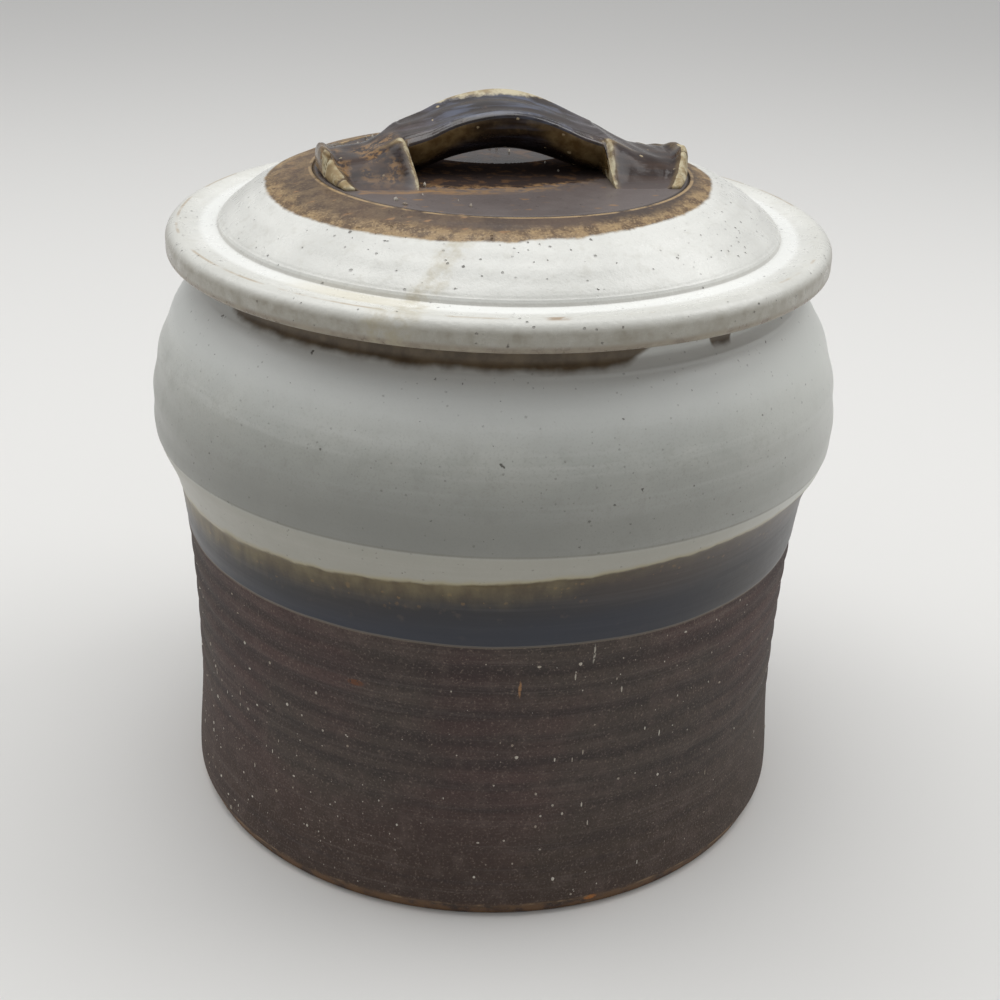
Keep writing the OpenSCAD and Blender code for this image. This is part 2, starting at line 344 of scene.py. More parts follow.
def mark_at(g, angle, z, where, wide, tall):
    """A soft oval mark on a turned wall: its angle in degrees, its height, and half sizes, in mm on a 100 mm radius."""
    side = g.math("DIVIDE", g.less(angle, math.radians(where[0])), wide / 100.0)
    rise = g.math("DIVIDE", g.less(z, where[1] * mm), tall * mm)
    return g.rise(g.math("SQRT", g.plus(g.times(side, side), g.times(rise, rise))), 1.0, 0.5)


jar_paint, g, shader = material("jar_stoneware")
at, x, y, z, angle, out = g.place()
inside = g.add("ShaderNodeAttribute", attribute_name="inside").outputs["Fac"]
groove = g.add("ShaderNodeAttribute", attribute_name="groove").outputs["Fac"]
cloud = g.noise(at, 24.0, 3.0)
mottle = g.noise(at, 190.0, 4.0, 0.6)
grit = g.noise(at, 1500.0, 2.0, 0.6)
lines = g.group("Wheel lines", {"Position": at, "Fineness": 900.0, "Waver": 16.0})
broad = g.group("Wheel lines", {"Position": at, "Fineness": 230.0, "Waver": 8.0})

# Bare clay: purple-brown, toasted in patches, dragged level by the wheel
clay = g.blend(g.rise(cloud, 0.38, 0.62), colour(67, 51, 48), colour(79, 61, 57))
clay = g.tint(clay, 0.75, g.rise(g.noise(at, 15.0, 2.0), 0.42, 0.60), (70, 63, 56))
# Painted shade: the bare clay is darker in the pressed ring grooves.
clay = g.tint(clay, 0.45, g.rise(groove, 0.35, 0.85), (42, 37, 36))
clay = g.tint(clay, 0.65, g.rise(z, 0.050, 0.012), (62, 48, 38))
clay = g.tint(clay, 0.4, g.rise(mottle, 0.45, 0.72), (100, 87, 80))
clay = g.tint(clay, 0.45, g.rise(broad, 0.50, 0.36), (50, 41, 40))
clay = g.tint(clay, 0.28, g.rise(lines, 0.52, 0.75), (112, 102, 96))
clay = g.tint(clay, 0.65, g.rise(grit, 0.54, 0.76), (128, 113, 102))
clay = g.tint(clay, 0.65, g.rise(grit, 0.44, 0.24), (36, 30, 29))
heel = g.rise(z, 0.0058, 0.0030)
clay = g.blend(g.times(heel, g.rise(mottle, 0.35, 0.6)), clay, colour(112, 84, 58))
rim_line = g.times(g.band(z, 0.0044, 0.0006), g.rise(g.noise(at, 120.0, 3.0), 0.42, 0.6))
clay = g.tint(clay, 0.8, rim_line, (146, 120, 90))
for where, wide, tall, tint in (((-78.9, 3.6), 2.6, 1.6, (176, 112, 52)), ((-93.2, 81.8), 0.6, 3.6, (150, 112, 76)),
                                ((-81.1, 91.9), 0.4, 4.2, (170, 164, 152)), ((-90.2, 89.2), 0.7, 0.6, (186, 176, 160)),
                                ((-121.0, 78.0), 3.2, 1.2, (104, 66, 44))):
    spot = g.times(mark_at(g, angle, z, where, wide, tall), g.rise(grit, 0.3, 0.5))
    clay = g.blend(spot, clay, colour(*tint))

# Dark band: blue-black satin glaze that breaks amber and olive under the edge of the white glaze
edge = g.plus(white_z * mm, g.times(g.math("SINE", g.plus(angle, white_turn)), white_slant * mm))
edge = g.plus(edge, g.times(g.less(g.noise(at, 130.0, 3.0), 0.5), 0.0030))
below = g.less(edge, z)
dark = g.blend(g.rise(cloud, 0.35, 0.65), colour(31, 30, 34), colour(39, 35, 35))
dark = g.tint(dark, 0.4, g.rise(broad, 0.5, 0.7), (72, 70, 72))
dark = g.tint(dark, 0.5, g.rise(mottle, 0.58, 0.75), (84, 70, 60))
rust = g.group("Specks", {"Position": at, "Scale": 520.0, "Share": 0.3, "Size": 0.36})
dark = g.blend(g.times(rust, g.rise(below, 0.012, 0.003)), dark, colour(126, 96, 58))
lean = g.math("MAXIMUM", g.rise(g.math("COSINE", g.plus(angle, 2.3)), 0.50, 0.85),
              g.times(g.rise(g.math("COSINE", g.less(angle, 1.2)), 0.5, 0.9), 0.7))
blue = g.times(g.rise(below, 0.008, 0.019), g.rise(g.math("COSINE", g.plus(angle, 2.0)), 0.35, 0.95))
dark = g.blend(g.times(blue, g.plus(0.3, g.times(cloud, 0.8))), dark, colour(31, 39, 56))
feather = g.noise(g.stretch(at, (170.0, 170.0, 70.0)), 1.0, 4.0, 0.6)
fringe = g.plus(g.plus(0.0022, g.times(feather, 0.006)), g.times(lean, 0.0052))
fringe = g.add("ShaderNodeMapRange", {0: below, 1: fringe, 2: g.times(fringe, 0.05)},
               interpolation_type="SMOOTHSTEP").outputs[0]
amber = g.blend(g.rise(feather, 0.25, 0.75), colour(84, 69, 43), colour(120, 107, 74))
dark = g.blend(g.times(g.rise(below, 0.016, 0.002), g.times(g.less(1.0, lean), 0.6)), dark, colour(76, 62, 52))
dark = g.blend(g.times(fringe, g.plus(0.30, g.times(lean, 0.65))), dark, amber)
bare = g.plus(dark_z * mm, g.times(g.less(g.noise(at, 30.0, 2.0), 0.5), 0.0016))
glazed = g.rise(z, bare, g.plus(bare, 0.0004))
body = g.blend(glazed, clay, dark)
body = g.tint(body, 0.5, g.band(g.less(z, bare), 0.0002, 0.0006), (134, 124, 110))

# White glaze: grey-white and satin, thinner on the rings, with iron spots and a brown gap under the lid
white = g.blend(g.rise(g.noise(at, 45.0, 4.0, 0.6), 0.30, 0.70), colour(176, 178, 172), colour(187, 188, 181))
white = g.tint(white, 0.45, g.rise(broad, 0.48, 0.68), (204, 205, 200))
white = g.tint(white, 0.28, g.rise(mottle, 0.48, 0.74), (146, 145, 135))
white = g.tint(white, 0.35, g.rise(grit, 0.50, 0.30), (146, 145, 136))
# Painted light: the shoulder under the lid is painted lighter towards the neck.
white = g.tint(white, 0.85, g.rise(z, 0.152, 0.170), (208, 210, 206))
# Painted shade together with a thinner glaze: the band under the crease is painted darker.
white = g.tint(white, 0.8, g.rise(z, 0.1295, 0.1275), (164, 161, 150))
# Painted light: the right side of the white glaze is painted lighter.
white = g.tint(white, 0.65, g.rise(g.math("COSINE", angle), 0.35, 0.90), (214, 216, 210))
# The lower bulge darkens towards the crease, most at the front left: painted shade where the wall turns down, together
# with a thinner glaze.
thin_glaze_and_shade = g.plus(0.43, g.times(g.math("COSINE", g.plus(angle, 2.1)), 0.43))
thin_glaze_and_shade = g.times(thin_glaze_and_shade, g.times(g.rise(z, 0.164, 0.134), g.rise(z, 0.1280, 0.1292)))
white = g.blend(thin_glaze_and_shade, white, colour(130, 130, 124))
white = g.blend(g.times(g.band(z, 0.1289, 0.0005), g.times(mottle, 0.7)), white, colour(120, 116, 104))
white = g.blend(g.rise(below, -0.0022, -0.0002), white, colour(168, 160, 134))
for scale, share, size, strength in ((210.0, 0.07, 0.12, 0.85), (430.0, 0.10, 0.16, 0.7), (800.0, 0.10, 0.3, 0.35)):
    iron = g.group("Specks", {"Position": at, "Scale": scale, "Share": share, "Size": size})
    white = g.blend(g.times(iron, strength), white, colour(66, 62, 56))
front = g.times(g.rise(angle, -3.13, -2.55), g.rise(angle, -1.12, -1.36))
patch = g.times(g.rise(angle, -1.07, -1.02), g.rise(angle, -0.90, -0.95))
ragged = g.times(g.less(g.noise(at, 120.0, 3.0), 0.5), 0.0025)
gap = g.plus(g.plus(0.1758, ragged), g.plus(g.times(g.less(1.0, front), 0.011), g.times(patch, -0.0100)))
skin = g.rise(z, g.less(gap, 0.0010), g.plus(gap, 0.0010))
bare_neck = g.blend(g.rise(mottle, 0.3, 0.7), colour(78, 65, 47), colour(106, 91, 69))
white = g.blend(skin, white, bare_neck)
body = g.blend(g.rise(below, 0.0007, -0.0007), body, white)
lining = g.blend(g.rise(cloud, 0.3, 0.7), colour(158, 156, 146), colour(176, 174, 164))
iron = g.group("Specks", {"Position": at, "Scale": 240.0, "Share": 0.08, "Size": 0.14})
body = g.blend(inside, body, g.blend(g.times(iron, 0.8), lining, colour(76, 66, 56)))
seat = g.times(g.rise(z, 0.1826, 0.1834), g.less(1.0, inside))
body = g.tint(body, 0.9, seat, (120, 98, 78))

fired = g.math("MAXIMUM", inside, glazed)
rough = g.plus(g.times(g.less(1.0, fired), 0.42), g.plus(0.30, g.times(mottle, 0.12)))
height = g.plus(g.times(g.less(1.0, fired), g.plus(g.times(lines, 0.35), g.times(grit, 0.5))),
                g.plus(g.times(mottle, 0.10), g.times(broad, 0.25)))
surface(g, shader, body, rough, height, 0.0005)

rings = throwing_rings()
settle(jar, rings, {"Pitch": 0.0084, "Depth": 0.0006, "From height": 0.030, "To height": 0.101, "Unevenness": 0.9,
                    "Seed": 4.0, "Material": jar_paint})
settle(jar, rings, {"Pitch": 0.0125, "Depth": 0.0005, "From height": 0.126, "To height": 0.172, "Unevenness": 0.7,
                    "Seed": 9.0, "Material": jar_paint})
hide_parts("jar_body")
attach(jar, "jar")

# Grog: crumbs of pale fired clay mixed into the body. The wheel drags them to the surface of the bare wall,
# where they stand out as chips and short streaks. They are part of the wall.


def grog_scatter():
    """Geometry Nodes: beds small grains in a surface between two heights and two distances from the axis."""
    sizes = ("Per square metre", "Grain", "Tall", "From height", "To height", "From reach", "To reach", "Seed")
    g, use, end = tree_of("Grog scatter", sizes)
    at = g.add("GeometryNodeInputPosition").outputs[0]
    x, y, z = g.add("ShaderNodeSeparateXYZ", {0: at}).outputs
    reach = g.math("SQRT", g.plus(g.times(x, x), g.times(y, y)))
    here = g.times(g.math("GREATER_THAN", z, use["From height"]), g.math("LESS_THAN", z, use["To height"]))
    here = g.times(here, g.times(g.math("GREATER_THAN", reach, use["From reach"]),
                                 g.math("LESS_THAN", reach, use["To reach"])))
    patch = g.add("ShaderNodeTexNoise", {"Vector": at, "W": use["Seed"], "Scale": 16.0, "Detail": 2.0},
                  noise_dimensions="4D").outputs[0]
    thick = g.times(use["Per square metre"], g.rise(patch, 0.40, 0.66))
    grains = g.add("GeometryNodeDistributePointsOnFaces", {"Mesh": use["Geometry"], "Selection": here, "Density": thick,
                                                          "Seed": use["Seed"]})
    ball = g.add("GeometryNodeMeshIcoSphere", {"Radius": 1.0, "Subdivisions": 1}).outputs[0]
    stand = g.add("FunctionNodeAlignRotationToVector", {"Vector": grains.outputs["Normal"]}, axis="X", pivot_axis="Z")
    draw = [g.add("FunctionNodeRandomValue", {2: low, 3: high, 8: seed}, data_type="FLOAT").outputs[1]
            for low, high, seed in ((0.35, 1.0, 3), (0.5, 1.3, 5))]
    wide = g.times(use["Grain"], draw[0])
    size = g.add("ShaderNodeCombineXYZ", {0: g.times(wide, 0.45), 1: wide,
                                          2: g.times(g.times(wide, draw[1]), use["Tall"])}).outputs[0]
    end(g.add("GeometryNodeInstanceOnPoints", {"Points": grains.outputs["Points"], "Instance": ball,
                                              "Rotation": stand.outputs[0], "Scale": size}).outputs[0])
    return g.tree


grog_paint, g, shader = material("grog", 0.3)
at, x, y, z, angle, out = g.place()
pale = g.blend(g.rise(g.noise(at, 300.0, 2.0), 0.35, 0.65), colour(150, 138, 124), colour(206, 200, 188))
surface(g, shader, pale, g.plus(0.6, g.times(g.noise(at, 900.0, 2.0), 0.3)), g.noise(at, 2500.0, 2.0), 0.0002)
bedded = grog_scatter()
for name, values in (("grog_chips", {"Per square metre": 9000.0, "Grain": 0.00062, "Tall": 1.2, "Seed": 11.0}),
                     ("grog_streaks", {"Per square metre": 3200.0, "Grain": 0.00028, "Tall": 4.5, "Seed": 23.0}),
                     ("grog_dust", {"Per square metre": 26000.0, "Grain": 0.00026, "Tall": 1.5, "Seed": 31.0})):
    grog = bpy.data.objects.new(name, jar.data.copy())
    bpy.context.scene.collection.objects.link(grog)
    settle(grog, bedded, {**values, "From height": 0.006, "To height": 0.0945, "From reach": 0.098, "To reach": 0.2,
                          "Material": grog_paint})
    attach(grog, "jar")

# The lid: a thrown shallow cone with a thick flat rim, a trough and a small step round the foot of the cone, and
# a line scored round the flat top. It is dipped in white glaze, with a brown iron glaze poured on the middle.
# It lies loose on the neck.

lid_d, rim_t, rim_round, rim_ease, trough_d, trough_depth, lid_spots = 206.0, 8.8, 4.0, 1.5, 183.0, 1.0, 256
cone_d, step_h, cone_rise, cone_swell, top_d, score_depth, lid_t = 174.2, 1.8, 14.3, 2.8, 115.4, 0.7, 8.0
ring_r, ring_t, ring_depth, ring_round, ring_spots = 83.5, 6.0, 12.0, 1.5, 192
# Edge of the painted shade on the flat top under the arch: its front, bow and slant.
arch_shade_front, arch_shade_bow, arch_shade_slant = 26.2, 7.5, 0.16
rim_z = seat_z + rim_t
step_z = rim_z - trough_depth + step_h
top_z = step_z + cone_rise
lid_r, top_r, hollow_r = lid_d / 2, top_d / 2, ring_r - ring_t - 2
foot_r = cone_d / 2 - 0.4 * step_h
cone = [(foot_r + (top_r + 0.6 - foot_r) * t, step_z + cone_rise * t + 4 * cone_swell * t * (1 - t))
        for t in np.linspace(0.02, 1, 48)]
bank_r, bank_z, low_z = trough_d / 2, rim_z - 0.6 * trough_depth, rim_z - trough_depth
lid_outline = (line((0, top_z - lid_t), (top_r - 6, top_z - lid_t), 6)
               + line((top_r - 6, top_z - lid_t), (hollow_r - 2, seat_z + 7), 8)
               + line((hollow_r - 2, seat_z + 7), (hollow_r, seat_z), 4)
               + line((hollow_r, seat_z), (lid_r - rim_ease - 0.1, seat_z), 10)
               + arc(lid_r - rim_ease, seat_z + rim_ease, rim_ease, -90, 0, 6)
               + arc(lid_r - rim_round, rim_z - rim_round, rim_round, 0, 90, 12)
               + line((lid_r - rim_round - 0.8, rim_z), (bank_r + 4, bank_z), 4)
               + [(bank_r + (4 * (1 - t)), low_z + (bank_z - low_z) * (1 - t) ** 2) for t in np.linspace(0, 1, 8)]
               + line((bank_r - 0.6, low_z), (cone_d / 2 + 0.5, low_z), 6)
               + arc(cone_d / 2 + 0.4, low_z + 0.4, 0.4, 270, 200, 4)
               + arc(foot_r - 0.5, step_z - 0.5, 0.6, 15, 70, 4) + cone
               + [(top_r + 0.35, top_z - 0.15), (top_r + 0.12, top_z - 0.6), (top_r, top_z - score_depth),
                  (top_r - 0.12, top_z - 0.6), (top_r - 0.35, top_z - 0.15), (top_r - 0.7, top_z)]
               + line((top_r - 1.4, top_z), (0, top_z), 60) + [(0, top_z)])


def lid_wander(r, z, a):
    """The wheel's unevenness on the cone and rim, kept off the seat and the flat top under the handle."""
    top = smooth(seat_z + 2, seat_z + 6, z)
    dip = 0.16 * (1 + np.sin(2 * a + 1.0)) + 0.07 * (1 + np.sin(5 * a + r / 9))
    ripple = 0.10 * (1 + np.sin(r * 1.1 + 0.8 * np.sin(a))) * smooth(60, 64, r) * smooth(86, 83, r)
    flat = smooth(52, 60, r)
    return r - 0.15 * smooth(98, 103, r) * (1 + np.sin(3 * a)), z - top * (dip * flat + ripple)


lid = turned("lid_glaze", lid_outline, lid_spots, lid_wander)


def lid_finish(name, gloss):
    """White glaze with the brown pour on the middle, and painted shade on the flat top under the arch, where the gloss
    is lower.
    """
    paint, g, shader = material(name, gloss)
    at, x, y, z, angle, out = g.place()
    cloud = g.noise(at, 26.0, 3.0)
    mottle = g.noise(at, 210.0, 4.0, 0.62)
    grit = g.noise(at, 1300.0, 3.0, 0.6)
    lines = g.group("Wheel lines", {"Position": at, "Fineness": 700.0, "Waver": 10.0})

    # White: pinholed where bubbles burst, greyer and browner where it thins over the rim
    white = g.blend(g.rise(cloud, 0.32, 0.68), colour(210, 210, 204), colour(226, 226, 220))
    white = g.tint(white, 0.4, g.rise(mottle, 0.52, 0.74), (192, 190, 180))
    white = g.tint(white, 0.35, g.rise(out, 0.0945, 0.0985), (200, 199, 190))
    rim = g.times(g.rise(out, 0.0985, 0.1022), g.rise(z, 0.1918, 0.1888))
    white = g.blend(g.times(rim, g.plus(0.30, g.times(mottle, 0.9))), white, colour(146, 140, 126))
    under_rim = g.times(g.rise(z, 0.1866, 0.1850), g.rise(out, 0.095, 0.1))
    white = g.blend(g.times(under_rim, 0.8), white,
                    g.blend(g.rise(mottle, 0.3, 0.7), colour(118, 102, 84), colour(156, 146, 128)))
    lip_line = g.times(g.band(out, 0.0992, 0.0006), g.rise(g.noise(at, 55.0, 3.0), 0.48, 0.62))
    white = g.tint(white, 0.55, lip_line, (164, 140, 104))
    # Painted highlight: a whiter band along the trough.
    white = g.tint(white, 0.8, g.band(out, 0.0898, 0.0040), (238, 239, 235))
    # Painted shade: a thin dark line at the foot of the step.
    white = g.tint(white, 0.3, g.band(out, 0.0870, 0.0004), (140, 132, 118))
    warp = g.times(g.less(g.noise(at, 40.0, 3.0), 0.5), 0.020)
    path = g.plus(g.plus(g.times(x, 0.80), g.times(y, -0.60)), warp)
    stain = g.times(g.band(path, 0.0225, 0.0060), g.times(g.rise(y, -0.060, -0.068), g.rise(x, -0.066, -0.050)))
    stain = g.times(stain, g.rise(mottle, 0.34, 0.66))
    white = g.tint(white, 0.5, stain, (176, 166, 138))
    tea = g.times(g.band(out, 0.0905, 0.0045), g.times(g.rise(angle, -2.5, -2.2), g.rise(angle, -1.85, -2.1)))
    white = g.blend(g.times(tea, g.times(cloud, 0.8)), white, colour(198, 186, 150))
    smudge = g.times(g.rise(g.math("ABSOLUTE", g.plus(angle, 1.567)), 0.042, 0.012), g.band(out, 0.0990, 0.0016))
    white = g.blend(g.times(smudge, g.times(g.rise(mottle, 0.35, 0.55), 0.75)), white, colour(146, 116, 80))
    holes = 0.0
    for scale, share, size, strength in ((150.0, 0.16, 0.075, 0.8), (300.0, 0.12, 0.11, 0.65),
                                         (620.0, 0.10, 0.22, 0.4)):
        hole = g.group("Specks", {"Position": at, "Scale": scale, "Share": share, "Size": size, "Fray": 0.2})
        white = g.blend(g.times(hole, strength), white, colour(100, 94, 84))
        holes = g.plus(hole, holes)
    crowd = g.times(g.band(out, 0.0745, 0.0135), g.rise(g.noise(at, 38.0, 2.0), 0.34, 0.52))
    pit = g.group("Specks", {"Position": at, "Scale": 230.0, "Share": 0.55, "Size": 0.135, "Fray": 0.15})
    pit = g.times(pit, crowd)
    white = g.tint(white, 0.85, pit, (84, 80, 72))
    fine = g.group("Specks", {"Position": at, "Scale": 460.0, "Share": 0.35, "Size": 0.17, "Fray": 0.15})
    fine = g.times(fine, crowd)
    white = g.tint(white, 0.6, fine, (96, 92, 82))
    holes = g.plus(g.plus(pit, fine), holes)

    # Brown middle: the pour sits a few millimetres off centre, tan and speckled at its edge, darker inside
    pour = g.plus(0.0688, g.times(g.math("COSINE", g.plus(angle, 2.88)), 0.0042))
    pour = g.plus(pour, g.times(g.less(g.noise(at, 90.0, 5.0, 0.7), 0.5), 0.0032))
    deep = g.less(pour, out)
    brown = g.blend(g.rise(mottle, 0.38, 0.62), colour(94, 71, 44), colour(150, 124, 86))
    brown = g.tint(brown, 0.55, g.rise(grit, 0.50, 0.66), (184, 158, 116))
    brown = g.tint(brown, 0.6, g.rise(grit, 0.44, 0.30), (66, 48, 32))
    thick = g.plus(deep, g.times(g.less(g.noise(at, 110.0, 4.0, 0.65), 0.5), 0.011))
    lush = g.blend(g.rise(cloud, 0.4, 0.6), colour(76, 57, 44), colour(58, 44, 36))
    right = g.plus(0.68, g.times(g.math("COSINE", g.plus(angle, 0.9)), 0.27))
    brown = g.blend(g.times(g.rise(thick, 0.0024, 0.0072), right), brown, lush)
    flat_top = g.rise(out, 0.0576, 0.0570)
    brown = g.blend(flat_top, brown, g.blend(g.rise(cloud, 0.35, 0.65), colour(86, 77, 74), colour(98, 89, 86)))
    fleck = g.group("Specks", {"Position": g.stretch(at, (0.5, 1.3, 1.0)), "Scale": 400.0, "Share": 0.34, "Size": 0.32})
    brown = g.blend(g.times(fleck, g.rise(g.noise(at, 60.0, 3.0), 0.42, 0.56)), brown, colour(142, 108, 72))
    # Painted shade: the flat top under the arch is painted dark with brown flecks, bounded by a ragged line.
    bow = g.less(g.plus(y, g.plus(arch_shade_front * mm, g.times(g.times(x, x), -arch_shade_bow))), g.times(x, arch_shade_slant))
    ragged = g.plus(bow, g.times(g.less(g.noise(at, 140.0, 4.0, 0.65), 0.5), 0.012))
    under = g.times(g.rise(ragged, -0.0004, 0.0018), flat_top)
    brown = g.blend(g.times(under, 0.92), brown,
                    g.blend(g.rise(mottle, 0.50, 0.66), colour(50, 41, 38), colour(88, 65, 46)))
    scum = g.times(g.band(ragged, -0.0010, 0.0056), g.rise(out, 0.0575, 0.054))
    scum = g.times(scum, g.times(g.rise(g.noise(at, 420.0, 4.0, 0.7), 0.42, 0.58), g.rise(x, 0.032, 0.012)))
    brown = g.tint(brown, 0.8, scum, (140, 112, 80))
    trail = g.band(g.plus(g.plus(y, g.times(x, 0.03)), g.times(ragged, 0.12)), -0.0316, 0.0042)
    trail = g.times(g.times(trail, g.rise(out, 0.0572, 0.055)),
                    g.times(g.rise(x, -0.050, -0.040), g.rise(x, 0.004, -0.022)))
    trail = g.times(trail, g.rise(g.noise(g.stretch(at, (150.0, 520.0, 300.0)), 1.0, 4.0, 0.7), 0.40, 0.60))
    brown = g.tint(brown, 0.8, trail, (150, 116, 78))
    # Painted shade: the scored line is painted dark, darkest at the front.
    score_shade = g.plus(0.35, g.times(g.rise(g.math("ABSOLUTE", g.plus(angle, 1.6)), 0.7, 0.2), 0.5))
    brown = g.blend(g.times(g.band(out, top_r * mm, 0.0006), score_shade), brown, colour(24, 18, 16))
    score_pale = g.times(g.band(out, (top_r + 1) * mm, 0.0007), g.rise(g.noise(at, 180.0, 3.0), 0.30, 0.54))
    brown = g.tint(brown, 0.7, score_pale, (184, 156, 114))
    body = g.blend(g.rise(deep, -0.0004, 0.0008), white, brown)
    below = g.rise(z, 0.1842, 0.1838)
    bare = g.blend(g.rise(mottle, 0.3, 0.7), colour(108, 88, 72), colour(138, 114, 94))
    hollow = g.times(g.rise(out, 0.0766, 0.0756), g.rise(z, 0.2006, 0.2000))
    bisque = g.math("MAXIMUM", below, hollow)
    body = g.blend(bisque, body, bare)
    poured = g.rise(deep, 0.0, 0.001)
    rough = g.plus(g.plus(0.20, g.times(mottle, 0.18)), g.times(g.times(poured, g.less(1.0, flat_top)), 0.16))
    rough = g.plus(g.plus(rough, g.times(bisque, 0.4)), g.times(g.times(flat_top, g.less(1.0, under)), 0.10))
    height = g.plus(g.plus(g.times(mottle, 0.48), g.times(lines, 0.12)),
                    g.plus(g.times(grit, 0.07), g.times(holes, -0.7)))
    surface(g, shader, body, rough, height, 0.0006)
    return paint


lid.data.materials.append(lid_finish("lid_glaze", 0.5))
lid.data.materials.append(lid_finish("lid_black_pool", 0.0))
# The faces under the arch take the copy without gloss, which carries the same painted shade.
spots = np.empty(len(lid.data.polygons) * 3)
lid.data.polygons.foreach_get("center", spots)
px, py, pz = spots.reshape(-1, 3).T * 1000
arch_shade_faces = (pz > top_z - 0.3) & (np.abs(px) < 33) & (py < 4.8 + 0.018 * px**2)
arch_shade_faces &= py > -arch_shade_front + arch_shade_bow * mm * px**2 + arch_shade_slant * px
lid.data.polygons.foreach_set("material_index", arch_shade_faces.astype(np.int32))
crumbs = bpy.data.objects.new("lid_crumbs", lid.data.copy())
bpy.context.scene.collection.objects.link(crumbs)
settle(crumbs, bedded, {"Per square metre": 24000.0, "Grain": 0.0011, "Tall": 1.2, "Seed": 47.0, "From height": 0.2074,
                        "To height": 0.2079, "From reach": 0.006, "To reach": 0.0568, "Material": grog_paint})
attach(crumbs, "lid")
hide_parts("lid_plate")
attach(lid, "lid")

# The locating ring: a plain thrown ring of the same clay, luted under the lid while both were wet. It hangs in
# the mouth with a loose fit and keeps the lid central. It is left bare.

low = seat_z - ring_depth
guide_outline = (line((ring_r, low + 1.2), (ring_r, seat_z), 18)
                 + line((ring_r, seat_z + 0.4), (ring_r - ring_t, seat_z + 0.4), 3)
                 + line((ring_r - ring_t, seat_z), (ring_r - ring_t, low + ring_round), 18)
                 + arc(ring_r - ring_t + ring_round, low + ring_round, ring_round, 180, 270, 5)
                 + arc(ring_r - ring_round, low + ring_round, ring_round, 270, 340, 5))
guide = turned("locating_ring_clay", guide_outline, ring_spots,
               lambda r, z, a: (r - 0.12 * (1 + np.sin(2 * a)) * smooth(seat_z, seat_z - 4, z), z), ring=True)
guide_paint, g, shader = material("bare_stoneware", 0.3)
at, x, y, z, angle, out = g.place()
mottle = g.noise(at, 180.0, 4.0, 0.6)
grit = g.noise(at, 1500.0, 2.0, 0.6)
lines = g.group("Wheel lines", {"Position": at, "Fineness": 900.0, "Waver": 14.0})
clay = g.blend(g.rise(mottle, 0.3, 0.7), colour(104, 84, 68), colour(138, 114, 92))
clay = g.tint(clay, 0.4, g.rise(lines, 0.5, 0.75), (158, 136, 112))
clay = g.tint(clay, 0.5, g.rise(grit, 0.42, 0.25), (66, 52, 42))
grog = g.group("Specks", {"Position": at, "Scale": 280.0, "Share": 0.08, "Size": 0.2})
clay = g.tint(clay, 0.8, grog, (190, 180, 164))
rough = g.plus(0.72, g.times(mottle, 0.2))
surface(g, shader, clay, rough, g.plus(g.times(lines, 0.6), g.times(grit, 0.4)), 0.0005)
guide.data.materials.append(guide_paint)
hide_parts("locating_ring")
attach(guide, "lid")

# The handle: a thick strap of clay pulled by hand, grooved along its top and rounded below, bent to an arch and
# pressed onto the flat top with the thumbs. The ends curl up into lips that cracked as they dried. Dark iron glaze
# covers it and breaks cream and tan along every edge.

strap_rise, strap_w, strap_t, strap_edge_t, strap_groove = 21.7, 26.0, 12.0, 4.0, 2.4
arch_span, arch_reach, pad_h, pad_w, lip_rise, pad_r = 59.0, 51.0, 5.4, 56.0, 2.2, 57.1
handle_rows, handle_spots = 340, 72


def swell(x, middle, half):
    """One at the middle, falling away softly on both sides."""
    return np.exp(-((x - middle) / half) ** 2)


